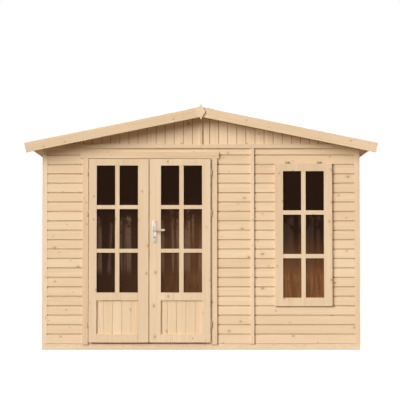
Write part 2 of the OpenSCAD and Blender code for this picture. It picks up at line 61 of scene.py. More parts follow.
SLOPE_ANGLE = math.radians(11.5)
SLOPE = math.tan(SLOPE_ANGLE)
FLOOR_TOP = high("floor_deck").z
WALL_TOP = high("front_wall_left").z
FACE_Y = low("front_wall_left").y
SIDE_X = high("right_wall").x
WALL_END_X = high("back_wall").x
WALL_END_Y = high("right_wall").y
ROOF_Y = high("roof_deck_right").y
EAVE_X = high("shingles_right").x
BOARDS_X = high("roof_deck_right").x
DECK_RISE = 16 * MM / math.cos(SLOPE_ANGLE)
CAP_RISE = 4 * MM / math.cos(SLOPE_ANGLE)
RIDGE = high("roof_deck_right").z - DECK_RISE
CLAD_T = 14 * MM
LAP = 86 * MM
WALL_COURSES = 21
SILL_COURSE = 4
WINDOW_HEAD_COURSE = 18
DOOR_HEAD_COURSE = 19
FLOOR_BOARDS = 35


# ---- Mesh helpers ----

def finished(bm, name):
    """Turns the working mesh into a named mesh and frees it."""
    mesh = bpy.data.meshes.new(name)
    bm.to_mesh(mesh)
    bm.free()
    return mesh


def placed(mesh, name):
    """Puts a mesh in the scene as an object."""
    obj = bpy.data.objects.new(name, mesh)
    bpy.context.scene.collection.objects.link(obj)
    return obj


def prism(section, start, end, to_place):
    """A closed solid: a flat outline carried from start to end. to_place turns (u, v, w) into a point."""
    bm = bmesh.new()
    near = [bm.verts.new(to_place(u, v, start)) for u, v in section]
    far = [bm.verts.new(to_place(u, v, end)) for u, v in section]
    n = len(section)
    for i in range(n):
        j = (i + 1) % n
        bm.faces.new((near[i], near[j], far[j], far[i]))
    bm.faces.new(near)
    bm.faces.new(list(reversed(far)))
    bmesh.ops.recalc_face_normals(bm, faces=bm.faces)
    return bm


def write_grain(mesh, along, across, middle, shift=(0, 0, 0)):
    """Stores each point's place in its board's own measure: along the grain, across it and through it."""
    along, across, middle = Vector(along).normalized(), Vector(across).normalized(), Vector(middle)
    through = along.cross(across)
    layer = mesh.attributes.new("grain", "FLOAT_VECTOR", "POINT")
    for i, v in enumerate(mesh.vertices):
        p = v.co - middle
        layer.data[i].vector = (p.dot(along) + shift[0], p.dot(across) + shift[1], p.dot(through) + shift[2])


def write_joint_shade(mesh, share):
    """Stores how much painted shade each point gets down a joint: 0 on the face, more in the depth."""
    layer = mesh.attributes.new("joint", "FLOAT", "POINT")
    for i, v in enumerate(mesh.vertices):
        layer.data[i].value = share(v.co)


def write_tab(mesh, marks):
    """Stores each point's place on its shingle, across and up, and 1 on the rim that gets painted shade."""
    layer = mesh.attributes.new("tab", "FLOAT_VECTOR", "POINT")
    for i, mark in enumerate(marks):
        layer.data[i].vector = mark


def cut_away(mesh, point, facing):
    """Saws the mesh through a plane, drops what lies on the side that it faces, and closes the cut."""
    bm = bmesh.new()
    bm.from_mesh(mesh)
    bmesh.ops.bisect_plane(bm, geom=bm.verts[:] + bm.edges[:] + bm.faces[:], dist=1e-6, plane_co=Vector(point),
                           plane_no=Vector(facing), clear_outer=True)
    rim = [e for e in bm.edges if e.is_boundary]
    if rim:
        bmesh.ops.holes_fill(bm, edges=rim, sides=0)
    bm.to_mesh(mesh)
    bm.free()


def trimmed(parts, *cuts):
    """Makes every cut in every mesh."""
    for mesh in parts:
        for point, facing in cuts:
            cut_away(mesh, point, facing)
    return parts


def turned(mesh, matrix):
    """Moves a mesh by a matrix and keeps its faces outwards."""
    mesh.transform(matrix)
    if matrix.determinant() < 0:
        mesh.flip_normals()
    return mesh


def together(meshes, name):
    """Joins meshes into one object and keeps their named attributes."""
    objs = [placed(m, name if i == 0 else "joined") for i, m in enumerate(meshes)]
    if len(objs) > 1:
        with bpy.context.temp_override(active_object=objs[0], object=objs[0], selected_objects=objs,
                                       selected_editable_objects=objs):
            bpy.ops.object.join()
    return objs[0]


# ---- Material helpers ----

def put(tree, kind, ins=(), **props):
    """Adds a node. ins pairs a socket's name or number with a value or another node's output."""
    n = tree.nodes.new(kind)
    for key, value in props.items():
        setattr(n, key, value)
    for key, value in dict(ins).items():
        if isinstance(value, bpy.types.NodeSocket):
            tree.links.new(value, n.inputs[key])
        else:
            n.inputs[key].default_value = value
    return n


def calc(tree, operation, a, b=0.0, c=0.0):
    return put(tree, "ShaderNodeMath", {0: a, 1: b, 2: c}, operation=operation).outputs[0]


def blend(tree, share, a, b, kind="MIX"):
    return put(tree, "ShaderNodeMix", {0: share, 6: a, 7: b}, data_type="RGBA", blend_type=kind).outputs[2]


def inverse(tree, value):
    return calc(tree, "SUBTRACT", 1.0, value)


def stretch(tree, vector, scale):
    return put(tree, "ShaderNodeMapping", {"Vector": vector, "Scale": scale}).outputs[0]


def cloud(tree, vector, scale, detail=2.0, rough=0.5):
    return put(tree, "ShaderNodeTexNoise", {"Vector": vector, "Scale": scale, "Detail": detail,
                                            "Roughness": rough}).outputs["Fac"]


def ease(tree, value, start, end):
    """0 below start, 1 past end, smooth between."""
    return put(tree, "ShaderNodeMapRange", {"Value": value, "From Min": start, "From Max": end},
               interpolation_type="SMOOTHSTEP").outputs["Result"]


def ramp(tree, value, stops):
    """Greys between stops, each a place and a shade."""
    n = put(tree, "ShaderNodeValToRGB", {0: value})
    bar = n.color_ramp
    while len(bar.elements) < len(stops):
        bar.elements.new(0.5)
    for element, (place, shade) in zip(bar.elements, stops):
        element.position = place
        element.color = (shade, shade, shade, 1.0)
    return n.outputs[0]


def paint(r, g, b):
    """A colour from 0-255 screen values."""
    def one(v):
        v /= 255
        return v / 12.92 if v <= 0.04045 else ((v + 0.055) / 1.055) ** 2.4
    return (one(r), one(g), one(b), 1.0)


def blank(name):
    """A new material, its node tree and its shader."""
    material = bpy.data.materials.new(name)
    material.use_nodes = True
    return material, material.node_tree, material.node_tree.nodes["Principled BSDF"]


def roughen(tree, shader, height, strength, distance):
    bump = put(tree, "ShaderNodeBump", {"Height": height, "Strength": strength, "Distance": distance})
    tree.links.new(bump.outputs[0], shader.inputs["Normal"])


# ---- Finishes ----

def spruce(name, pale, late, knots=0.5, gloss=0.62):
    """Planed spruce: growth rings cut by the board, soft streaks along it, and sound knots through it.

    knots is the share of cells that hold a knot. Down in the joints the wood gets painted shade.
    """
    cells, least_knot, knot_spread = 7.0, 0.034, 0.055
    ring_step, ring_bulge, pith_drift = 0.0052, 0.007, 0.09
    material, tree, shader = blank(name)
    grain = put(tree, "ShaderNodeAttribute", attribute_name="grain").outputs["Vector"]
    tone = put(tree, "ShaderNodeAttribute", attribute_name="tone").outputs["Fac"]
    along, across, through = put(tree, "ShaderNodeSeparateXYZ", {0: grain}).outputs
    # knots
    face = put(tree, "ShaderNodeCombineXYZ", {0: calc(tree, "MULTIPLY", along, 0.72), 1: across}).outputs[0]
    ragged = cloud(tree, stretch(tree, grain, (160, 160, 60)), 1.0, 2.0)
    cell = put(tree, "ShaderNodeTexVoronoi", {"Vector": face, "Scale": cells, "Randomness": 0.9},
               voronoi_dimensions="2D", feature="F1")
    reach = calc(tree, "ADD", cell.outputs["Distance"], calc(tree, "MULTIPLY", ragged, 0.02))
    chance = put(tree, "ShaderNodeSeparateColor", {0: cell.outputs["Color"]}).outputs
    here = calc(tree, "LESS_THAN", chance[0], knots)
    size = calc(tree, "MULTIPLY_ADD", chance[1], knot_spread, least_knot)
    inner = calc(tree, "DIVIDE", reach, size)
    knot = calc(tree, "MULTIPLY", here, inverse(tree, ease(tree, inner, 0.75, 1.05)))
    rim = calc(tree, "MULTIPLY", knot, ease(tree, inner, 0.3, 0.95))
    halo = calc(tree, "MULTIPLY", here, inverse(tree, ease(tree, inner, 0.8, 3.2)))
    # growth rings around a pith that wanders, pushed aside by the knots
    wander = put(tree, "ShaderNodeTexNoise",
                 {"W": calc(tree, "MULTIPLY", along, 0.8), "Scale": 1.0, "Detail": 1.0},
                 noise_dimensions="1D").outputs["Fac"]
    y = calc(tree, "ADD", across, calc(tree, "MULTIPLY_ADD", wander, pith_drift, -pith_drift / 2))
    radius = calc(tree, "SQRT", calc(tree, "ADD", calc(tree, "MULTIPLY", y, y),
                                     calc(tree, "MULTIPLY", through, through)))
    radius = calc(tree, "ADD", radius, calc(tree, "MULTIPLY", halo, ring_bulge))
    waver = cloud(tree, stretch(tree, grain, (3, 40, 40)), 1.0)
    radius = calc(tree, "ADD", radius, calc(tree, "MULTIPLY", waver, 0.004))
    ring = ramp(tree, calc(tree, "FRACT", calc(tree, "DIVIDE", radius, ring_step)),
                [(0.0, 0.05), (0.5, 0.25), (0.86, 1.0), (0.97, 0.7), (1.0, 0.05)])
    streak = cloud(tree, stretch(tree, grain, (1.6, 48, 48)), 1.0, 3.0, 0.6)
    broad = cloud(tree, stretch(tree, grain, (1.3, 7, 7)), 1.0, 2.0)
    fibre = cloud(tree, stretch(tree, grain, (30, 900, 900)), 1.0, 2.0)
    # how much latewood shows, then the colour
    share = calc(tree, "MULTIPLY_ADD", ring, 0.34, calc(tree, "MULTIPLY_ADD", streak, 0.5, -0.18))
    share = calc(tree, "ADD", share, calc(tree, "MULTIPLY_ADD", broad, 0.5, -0.25))
    share = calc(tree, "ADD", share, calc(tree, "MULTIPLY_ADD", tone, 0.3, -0.12))
    wood = blend(tree, put(tree, "ShaderNodeClamp", {0: share}).outputs[0], pale, late)
    wood = blend(tree, calc(tree, "MULTIPLY", halo, 0.4), wood, paint(214, 180, 138))
    wood = blend(tree, calc(tree, "MULTIPLY", knot, 0.8), wood, paint(196, 156, 114))
    wood = blend(tree, calc(tree, "MULTIPLY", rim, 0.5), wood, paint(150, 110, 76))
    # painted shade: the wood darkens down in the joints, standing in for the shade inside the grooves
    joint = put(tree, "ShaderNodeAttribute", attribute_name="joint").outputs["Fac"]
    wood = blend(tree, calc(tree, "MULTIPLY", joint, 0.85), wood, paint(132, 92, 46))
    tree.links.new(wood, shader.inputs["Base Color"])
    tree.links.new(calc(tree, "MULTIPLY_ADD", streak, 0.16, gloss - 0.08), shader.inputs["Roughness"])
    height = calc(tree, "MULTIPLY_ADD", fibre, 0.35, calc(tree, "MULTIPLY", knot, -0.8))
    height = calc(tree, "MULTIPLY_ADD", ring, 0.5, height)
    roughen(tree, shader, height, 0.35, 0.0005)
    return material


def zinc(name, tint, rough):
    """Dull metal with a fine mottle and hand marks."""
    material, tree, shader = blank(name)
    place = put(tree, "ShaderNodeTexCoord").outputs["Object"]
    mottle = cloud(tree, place, 140.0, 3.0)
    fine = cloud(tree, stretch(tree, place, (1800, 1800, 260)), 1.0, 2.0)
    shade = tuple(c * 0.8 for c in tint[:3]) + (1.0,)
    tree.links.new(blend(tree, mottle, shade, tint), shader.inputs["Base Color"])
    shader.inputs["Metallic"].default_value = 1.0
    tree.links.new(calc(tree, "MULTIPLY_ADD", mottle, 0.14, calc(tree, "MULTIPLY_ADD", fine, 0.1, rough - 0.1)),
                   shader.inputs["Roughness"])
    roughen(tree, shader, fine, 0.15, 0.0001)
    return material


def bitumen(name):
    """Mineral-faced shingle: granules, a slow mottle, a dark printed band and painted shade on the rim of each tab.
    """
    band_start, band_full = 0.242, 0.252
    material, tree, shader = blank(name)
    spot = put(tree, "ShaderNodeAttribute", attribute_name="tab").outputs["Vector"]
    tone = put(tree, "ShaderNodeAttribute", attribute_name="tone").outputs["Fac"]
    place = put(tree, "ShaderNodeTexCoord").outputs["Object"]
    up, rim = put(tree, "ShaderNodeSeparateXYZ", {0: spot}).outputs[1:]
    grit = put(tree, "ShaderNodeTexVoronoi", {"Vector": place, "Scale": 420.0}, feature="F1")
    speck = put(tree, "ShaderNodeSeparateColor", {0: grit.outputs["Color"]}).outputs
    patch = cloud(tree, place, 16.0, 4.0, 0.6)
    body = blend(tree, calc(tree, "MULTIPLY_ADD", patch, 1.5, -0.35), paint(64, 55, 57), paint(84, 69, 69))
    body = blend(tree, calc(tree, "MULTIPLY", tone, 0.5), body, paint(62, 59, 66))
    body = blend(tree, calc(tree, "MULTIPLY", calc(tree, "POWER", speck[0], 3.0), 0.5), body, paint(164, 146, 142))
    body = blend(tree, calc(tree, "MULTIPLY", calc(tree, "POWER", speck[1], 3.0), 0.6), body, paint(40, 36, 40))
    edge = calc(tree, "ADD", up, calc(tree, "MULTIPLY_ADD", cloud(tree, place, 90.0, 2.0), 0.008, -0.004))
    band = ease(tree, edge, band_start, band_full)
    body = blend(tree, calc(tree, "MULTIPLY", band, 0.92), body, paint(44, 43, 51))
    # painted shade: the rim of each tab darkens, standing in for the shade along its edges
    body = blend(tree, calc(tree, "MULTIPLY", rim, 0.9), body, paint(48, 40, 43))
    tree.links.new(body, shader.inputs["Base Color"])
    tree.links.new(calc(tree, "MULTIPLY_ADD", speck[2], 0.16, 0.78), shader.inputs["Roughness"])
    roughen(tree, shader, calc(tree, "SUBTRACT", 1.0, grit.outputs["Distance"]), 0.5, 0.0006)
    return material


def glass_with_painted_reflection(name):
    """Bronze-tinted glass with a painted reflection: dark at the head, broad pale bands below, brown at the foot."""
    door_to_window = (-1.08, 0.66)
    window_side = (0.2, 0.6)
    low_to_dark = (0.95, 1.42)
    reflected_foot_end = (0.66, 0.76)
    reflected_band_end = (1.54, 1.7)
    material, tree, shader = blank(name)
    place = put(tree, "ShaderNodeTexCoord").outputs["Object"]
    x, _, z = put(tree, "ShaderNodeSeparateXYZ", {0: place}).outputs
    # painted reflection: the colour below, from a dark head through pale streaky bands to a brown foot, stands in
    # for what the panes reflect
    side = ease(tree, x, *door_to_window)
    far = ease(tree, x, *window_side)
    reflected_low_part = inverse(tree, ease(tree, calc(tree, "MULTIPLY_ADD", far, 0.3, z), *low_to_dark))
    foot = inverse(tree, ease(tree, z, *reflected_foot_end))
    fine = cloud(tree, stretch(tree, place, (30, 30, 3)), 1.0, 4.0, 0.6)
    ragged = calc(tree, "MULTIPLY_ADD", cloud(tree, stretch(tree, place, (17, 17, 13)), 1.0, 4.0, 0.62), 0.9, z)
    reach = inverse(tree, ease(tree, ragged, *reflected_band_end))
    bands = ease(tree, cloud(tree, stretch(tree, place, (23, 23, 0.7)), 1.0, 3.0, 0.45), 0.43, 0.53)
    bands = calc(tree, "MULTIPLY", bands, calc(tree, "MULTIPLY", reach, inverse(tree, foot)))
    bands = calc(tree, "MULTIPLY", bands, calc(tree, "MULTIPLY_ADD", far, -0.75, 1.0))
    tint = blend(tree, reflected_low_part, paint(82, 52, 34), blend(tree, side, paint(94, 66, 47), paint(184, 130, 86)))
    thin = ease(tree, cloud(tree, stretch(tree, place, (60, 60, 5)), 1.0, 3.0, 0.55), 0.38, 0.62)
    brown = blend(tree, thin, paint(184, 130, 84), paint(212, 162, 114))
    tint = blend(tree, calc(tree, "MULTIPLY", foot, 0.9), tint, blend(tree, side, paint(104, 73, 51), brown))
    tint = blend(tree, calc(tree, "MULTIPLY", bands, calc(tree, "MULTIPLY_ADD", fine, 0.7, 0.45)), tint,
                 blend(tree, side, paint(172, 142, 120), paint(204, 170, 142)))
    tree.links.new(tint, shader.inputs["Base Color"])
    shader.inputs["Transmission Weight"].default_value = 0.8
    shader.inputs["IOR"].default_value = 1.12
    shader.inputs["Specular IOR Level"].default_value = 0.4
    tree.links.new(calc(tree, "MULTIPLY_ADD", fine, 0.04, 0.02), shader.inputs["Roughness"])
    roughen(tree, shader, fine, 0.05, 0.0002)
    return material


PALE_WOOD, LATE_WOOD = paint(238, 212, 179), paint(196, 160, 118)
WOOD = spruce("Planed spruce", PALE_WOOD, LATE_WOOD)
SASH = spruce("Sash spruce", PALE_WOOD, LATE_WOOD, 0.9)
FRAMING = spruce("Framing spruce", paint(240, 215, 182), paint(218, 186, 148), 0.5, 0.72)
BOARDING = spruce("Boarding spruce", paint(239, 212, 177), paint(214, 179, 138), 0.66)
# painted shade: a darker, browner copy of the spruce for the boards under the eaves and the threshold strip, which
# lie in shade
SHADE_DARKENED_SPRUCE = spruce("Spruce darkened with painted shade", paint(206, 162, 114), paint(178, 130, 82), 0.45, 0.7)
HINGE = zinc("Yellow zinc plate", paint(174, 152, 116), 0.55)
HANDLE = zinc("Satin steel", paint(186, 174, 163), 0.54)
SCREW = zinc("Screw zinc", paint(158, 140, 112), 0.5)
LOCK = zinc("Lock steel", paint(120, 116, 112), 0.4)
SHINGLE = bitumen("Shingle")
GLASS = glass_with_painted_reflection("Glass with painted reflection")


# ---- Repeated boards and shingles, made with Geometry Nodes ----

def repeating_tree(name, inputs, points):
    """A tree that copies a mesh to points and gives each copy its own tone and grain. Plain mesh comes out."""
    tree = bpy.data.node_groups.new(name, "GeometryNodeTree")
    tree.is_modifier = True
    face = tree.interface
    face.new_socket("Geometry", in_out="INPUT", socket_type="NodeSocketGeometry")
    for label, kind in inputs:
        face.new_socket(label, in_out="INPUT", socket_type=kind)
    face.new_socket("Seed", in_out="INPUT", socket_type="NodeSocketInt")
    face.new_socket("Finish", in_out="INPUT", socket_type="NodeSocketMaterial")
    face.new_socket("Geometry", in_out="OUTPUT", socket_type="NodeSocketGeometry")
    given = put(tree, "NodeGroupInput").outputs
    seed = given["Seed"]
    copies = put(tree, "GeometryNodeInstanceOnPoints",
                 {"Points": points(tree, given), "Instance": given["Geometry"]}).outputs[0]
    tone = put(tree, "FunctionNodeRandomValue", {"Seed": seed}, data_type="FLOAT").outputs[1]
    copies = put(tree, "GeometryNodeStoreNamedAttribute", {"Geometry": copies, "Name": "tone", "Value": tone},
                 data_type="FLOAT", domain="INSTANCE").outputs[0]
    other = put(tree, "ShaderNodeMath", {0: seed, 1: 1.0}, operation="ADD").outputs[0]
    shift = put(tree, "FunctionNodeRandomValue", {0: (0.0, -0.06, 0.012), 1: (60.0, 0.06, 0.06), "Seed": other},
                data_type="FLOAT_VECTOR").outputs[0]
    copies = put(tree, "GeometryNodeStoreNamedAttribute", {"Geometry": copies, "Name": "shift", "Value": shift},
                 data_type="FLOAT_VECTOR", domain="INSTANCE").outputs[0]
    solid = put(tree, "GeometryNodeRealizeInstances", {"Geometry": copies}).outputs[0]
    old = put(tree, "GeometryNodeInputNamedAttribute", {"Name": "grain"}, data_type="FLOAT_VECTOR").outputs[0]
    move = put(tree, "GeometryNodeInputNamedAttribute", {"Name": "shift"}, data_type="FLOAT_VECTOR").outputs[0]
    both = put(tree, "ShaderNodeVectorMath", {0: old, 1: move}, operation="ADD").outputs[0]
    solid = put(tree, "GeometryNodeStoreNamedAttribute", {"Geometry": solid, "Name": "grain", "Value": both},
                data_type="FLOAT_VECTOR", domain="POINT").outputs[0]
    solid = put(tree, "GeometryNodeSetMaterial", {"Geometry": solid, "Material": given["Finish"]}).outputs[0]
    put(tree, "NodeGroupOutput", {0: solid})
    return tree


def in_a_row(tree, given):
    """Points one step apart."""
    return put(tree, "GeometryNodeMeshLine", {"Count": given["Count"], "Offset": given["Step"]},
               mode="OFFSET").outputs[0]


def in_courses(tree, given):
    """Points in courses up a slope, with every other course moved half a tab sideways."""
    index = put(tree, "GeometryNodeInputIndex").outputs[0]
    across = given["Tabs"]
    total = calc(tree, "MULTIPLY", across, given["Courses"])
    course = calc(tree, "FLOOR", calc(tree, "DIVIDE", calc(tree, "ADD", index, 0.5), across))
    tab = calc(tree, "SUBTRACT", index, calc(tree, "MULTIPLY", course, across))
    half = calc(tree, "MULTIPLY", calc(tree, "MODULO", course, 2.0), 0.5)
    x = calc(tree, "MULTIPLY", calc(tree, "ADD", tab, half), given["Pitch"])
    y = calc(tree, "MULTIPLY", course, given["Exposure"])
    spot = put(tree, "ShaderNodeCombineXYZ", {0: x, 1: y}).outputs[0]
    return put(tree, "GeometryNodePoints", {"Count": total, "Position": spot}).outputs[0]


ROW = repeating_tree("Copies in a row", [("Count", "NodeSocketInt"), ("Step", "NodeSocketVector")], in_a_row)
COURSES = repeating_tree("Shingles in courses", [("Tabs", "NodeSocketInt"), ("Courses", "NodeSocketInt"),
                                                 ("Pitch", "NodeSocketFloat"), ("Exposure", "NodeSocketFloat")],
                         in_courses)


def grown(mesh, tree, **values):
    """Runs a tree on a mesh and gives back the plain mesh that comes out."""
    obj = placed(mesh, "one")
    modifier = obj.modifiers.new("Repeat", "NODES")
    modifier.node_group = tree
    for item in tree.interface.items_tree:
        if item.in_out == "INPUT" and item.name in values:
            modifier[item.identifier] = values[item.name]
    depsgraph = bpy.context.evaluated_depsgraph_get()
    result = bpy.data.meshes.new_from_object(obj.evaluated_get(depsgraph))
    obj.modifiers.remove(modifier)
    bpy.data.objects.remove(obj)
    return result


def row(mesh, count, step, seed, finish):
    """count copies of a mesh, one step apart."""
    return grown(mesh, ROW, Count=count, Step=tuple(step), Seed=seed, Finish=finish)


# ---- Wall cladding ----

# One board in millimetres: depth behind the face, and height above its foot. The foot is eased, and above the
# coved top edge a thinner part runs up to the next board
BOARD = [(14, 0), (2.2, 0), (0.7, 0.5), (0, 1.5), (0, 72), (1, 73), (3.4, 74.4), (6.4, 75.8), (9, 77), (9, 86),
         (14, 86)]
# The lowest board is this much taller, and its foot is cut back
FIRST_EXTRA = 7
FIRST = [(14, 0), (5, 0), (4, 3.2), (1.2, 3.8), (0.3, 4.6), (0, 6)] + [(d, v + FIRST_EXTRA) for d, v in BOARD[4:]]


def joint_depth(depth, full, back):
    """How far down a joint a point lies: 0 on the face, 1 at the full depth, and 0 on the board's back."""
    return 0.0 if depth > back - 0.5 * MM else min(1.0, depth / full)


def courses(x0, x1, first, count, seed):
    """Level boards on the front wall between x0 and x1, from course number first."""
    # how dark the painted shade in the joints gets, and the depth at which it is full
    shade, full_depth = 0.36, 7 * MM
    parts = []
    for section, start, n in ((BOARD if first else FIRST, first, 1), (BOARD, first + 1, count - 1)):
        if n < 1:
            continue
        z = FLOOR_TOP + start * LAP + (0 if start == 0 else FIRST_EXTRA * MM)
        bm = prism(section, x0, x1, lambda d, v, w: (w, FACE_Y + d * MM, z + v * MM))
        mesh = finished(bm, "board")
        write_grain(mesh, (1, 0, 0), (0, 0, 1), (0, FACE_Y, z + LAP / 2))
        write_joint_shade(mesh, lambda co: shade * joint_depth(co.y - FACE_Y, full_depth, CLAD_T))
        parts.append(row(mesh, n, (0, 0, LAP), seed + start, BOARDING))
    return parts


def fitted(obj, *nodes, slot="cladding", body="shed"):
    """Puts a finished piece on its body in place of its plain solids."""
    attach(obj, body)
    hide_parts(*nodes)
    return obj


def added(obj, body):
    """Puts a small extra piece on its body."""
    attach(obj, body)
    return obj


def wall_cladding():
    top = ((0, 0, WALL_TOP), (0, 0, 1))
    over = WALL_COURSES - DOOR_HEAD_COURSE
    for side, seed in (("left", 10), ("middle", 50)):
        lo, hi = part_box("front_wall_" + side)
        parts = trimmed(courses(lo.x, hi.x, 0, WALL_COURSES, seed), top)
        fitted(together(parts, "front_cladding_" + side), "front_wall_" + side)
    lo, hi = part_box("front_wall_over_door")
    parts = trimmed(courses(lo.x, hi.x, DOOR_HEAD_COURSE, over, 90), top, ((0, 0, lo.z), (0, 0, -1)))
    fitted(together(parts, "front_cladding_over_door"), "front_wall_over_door")
    # round the window hole: whole boards below, short ones on both sides, two cut to the hole, whole ones above
    lo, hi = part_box("front_wall_right")
    lap = 40 * MM
    beside = DOOR_HEAD_COURSE - SILL_COURSE
    x0, x1 = low("window_stiles").x + lap, high("window_stiles").x - lap
    z0, z1 = low("window_stiles").z + lap, high("window_stiles").z - lap
    parts = courses(lo.x, hi.x, 0, SILL_COURSE, 110)
    parts += courses(lo.x, x0, SILL_COURSE, beside, 130) + courses(x1, hi.x, SILL_COURSE, beside, 160)
    parts += trimmed(courses(x0, x1, SILL_COURSE, 1, 130), ((0, 0, z0), (0, 0, 1)))
    parts += trimmed(courses(x0, x1, WINDOW_HEAD_COURSE, 1, 160), ((0, 0, z1), (0, 0, -1)))
    parts += trimmed(courses(lo.x, hi.x, DOOR_HEAD_COURSE, over, 190), top)
    fitted(together(parts, "front_cladding_right"), "front_wall_right")
    # back
    back = together(trimmed(courses(-WALL_END_X, WALL_END_X, 0, WALL_COURSES, 220), top), "back_cladding")
    turned(back.data, Matrix.Rotation(math.pi, 4, "Z"))
    fitted(back, "back_wall")
    # sides, cut to the slope of the roof
    for name, way, node in (("left_cladding", -1, "left_wall"), ("right_cladding", 1, "right_wall")):
        side = together(courses(-WALL_END_Y, WALL_END_Y, 0, WALL_COURSES + 1, 260 + 40 * way), name)
        outwards = Matrix.Translation((way * (SIDE_X + FACE_Y), 0, 0))
        turned(side.data, outwards @ Matrix.Rotation(way * math.pi / 2, 4, "Z"))
        cut_away(side.data, (0, 0, RIDGE), (way * SLOPE, 0, 1))
        fitted(side, node)


def gable_boarding():
    """Upright boards with eased edges, cut to the two slopes."""
    y0, y1 = FACE_Y, high("front_gable").y
    first, pitch, count = 79 * MM, 83 * MM, 17
    over_length = 20 * MM

    def board(width, x0):
        edge, gap, depth, t = 3 * MM, 1.5 * MM, 7 * MM, y1 - y0
        section = [(0, t), (0, depth), (gap, depth), (gap, 2 * MM), (edge, 0), (width - edge, 0),
                   (width - gap, 2 * MM), (width - gap, depth), (width, depth), (width, t)]
        bm = prism(section, WALL_TOP, RIDGE + over_length, lambda u, v, w: (x0 + u, y0 + v, w))
        mesh = finished(bm, "board")
        write_grain(mesh, (0, 0, 1), (1, 0, 0), (x0 + width / 2, y0, WALL_TOP))
        # painted shade down the joints between the boards, at full strength
        write_joint_shade(mesh, lambda co: joint_depth(co.y - y0, edge, t))
        return mesh

    def half(seed):
        parts = [row(board(first, 0), 1, (0, 0, 0), seed, BOARDING),
                 row(board(pitch, first), count, (pitch, 0, 0), seed + 5, BOARDING)]
        return trimmed(parts, ((0, 0, RIDGE), (SLOPE, 0, 1)), ((SIDE_X, 0, 0), (1, 0, 0)))

    for name, node, turn, seed in (("front_gable_boards", "front_gable", 0, 400),
                                   ("back_gable_boards", "back_gable", math.pi, 440)):
        left = [turned(m, Matrix.Scale(-1, 4, (1, 0, 0))) for m in half(seed)]
        gable = together(left + half(seed + 20), name)
        turned(gable.data, Matrix.Rotation(turn, 4, "Z"))
        fitted(gable, node)


def floor_boards():
    """Boards from front to back, with eased edges and an open joint between them."""
    lo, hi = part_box("floor_deck")
    pitch = (hi.x - lo.x) / FLOOR_BOARDS
    play, gap, edge, depth, t = 0.3 * MM, 1 * MM, 2 * MM, 7 * MM, hi.z - lo.z
    section = [(play, 0), (pitch - play, 0), (pitch - play, t - depth), (pitch - gap, t - depth),
               (pitch - gap, t - edge), (pitch - gap - edge, t), (gap + edge, t), (gap, t - edge),
               (gap, t - depth), (play, t - depth)]
    bm = prism(section, lo.y, hi.y, lambda u, v, w: (lo.x + u, w, lo.z + v))
    mesh = finished(bm, "board")
    write_grain(mesh, (0, 1, 0), (1, 0, 0), (lo.x + pitch / 2, 0, lo.z))
    fitted(together([row(mesh, FLOOR_BOARDS, (pitch, 0, 0), 500, BOARDING)], "floor_boards"), "floor_deck")


def roof_boards():
    """Boards along the roof, with their eased joints showing from below."""
    pitch, count, edge, depth = 92 * MM, 18, 4 * MM, 3 * MM

    def under(x):
        return RIDGE - SLOPE * x

    a, b = BOARDS_X - pitch, BOARDS_X
    section = [(a, under(a) + depth), (a + edge, under(a + edge)), (b - edge, under(b - edge)),
               (b, under(b) + depth), (b, under(b) + DECK_RISE), (a, under(a) + DECK_RISE)]
    for name, node, way, seed in (("roof_boards_right", "roof_deck_right", 1, 540),
                                  ("roof_boards_left", "roof_deck_left", -1, 580)):
        bm = prism(section, -ROOF_Y, ROOF_Y, lambda u, v, w: (u, w, v))
        mesh = finished(bm, "board")
        write_grain(mesh, (0, 1, 0), (1, 0, -SLOPE), ((a + b) / 2, 0, under(b)))
        result = row(mesh, count, (-pitch, 0, pitch * SLOPE), seed, SHADE_DARKENED_SPRUCE)
        cut_away(result, (0, 0, 0), (-1, 0, 0))
        if way < 0:
            turned(result, Matrix.Scale(-1, 4, (1, 0, 0)))
        fitted(together([result], name), node)


# ---- Roof covering ----

TAB_EXPOSURE = 140 * MM


def tab():
    """One six-sided shingle tab, thinner up the slope. x runs along the eave, y up the slope."""
    flat, wide, tall = 58.5 * MM, 108 * MM, 280 * MM
    mid = tall / 2
    lip_drop, lip_width, shaded_rim_width, least = 0.7 * MM, 1.2 * MM, 8 * MM, 0.15 * MM
    bm = bmesh.new()

    def ring(inset, height):
        f = (mid - inset) / mid
        corners = [(-flat, 0), (flat, 0), (wide, mid), (flat, tall), (-flat, tall), (-wide, mid)]
        spots = [(x * f, mid + (y - mid) * f) for x, y in corners]
        return [bm.verts.new((x, y, height(y))) for x, y in spots]

    def thick(y):
        return (6 - 3 * y / TAB_EXPOSURE) * MM

    foot = ring(0, lambda y: 0)
    outer = ring(0, lambda y: max(thick(y) - lip_drop, 0.1 * MM))
    lip = ring(lip_width, lambda y: max(thick(y), least))
    middle = ring(shaded_rim_width, lambda y: max(thick(y), least))
    n = len(foot)
    for lower, upper in ((foot, outer), (outer, lip), (lip, middle)):
        for i in range(n):
            j = (i + 1) % n
            bm.faces.new((lower[i], lower[j], upper[j], upper[i]))
    bm.faces.new(middle)
    bm.faces.new(list(reversed(foot)))
    bmesh.ops.recalc_face_normals(bm, faces=bm.faces)
    # 1 on every point outside the middle ring, the rim that gets painted shade
    marks = [(v.co.x, v.co.y, 0.0 if v in middle else 1.0) for v in bm.verts]
    mesh = finished(bm, "tab")
    write_tab(mesh, marks)
    return mesh


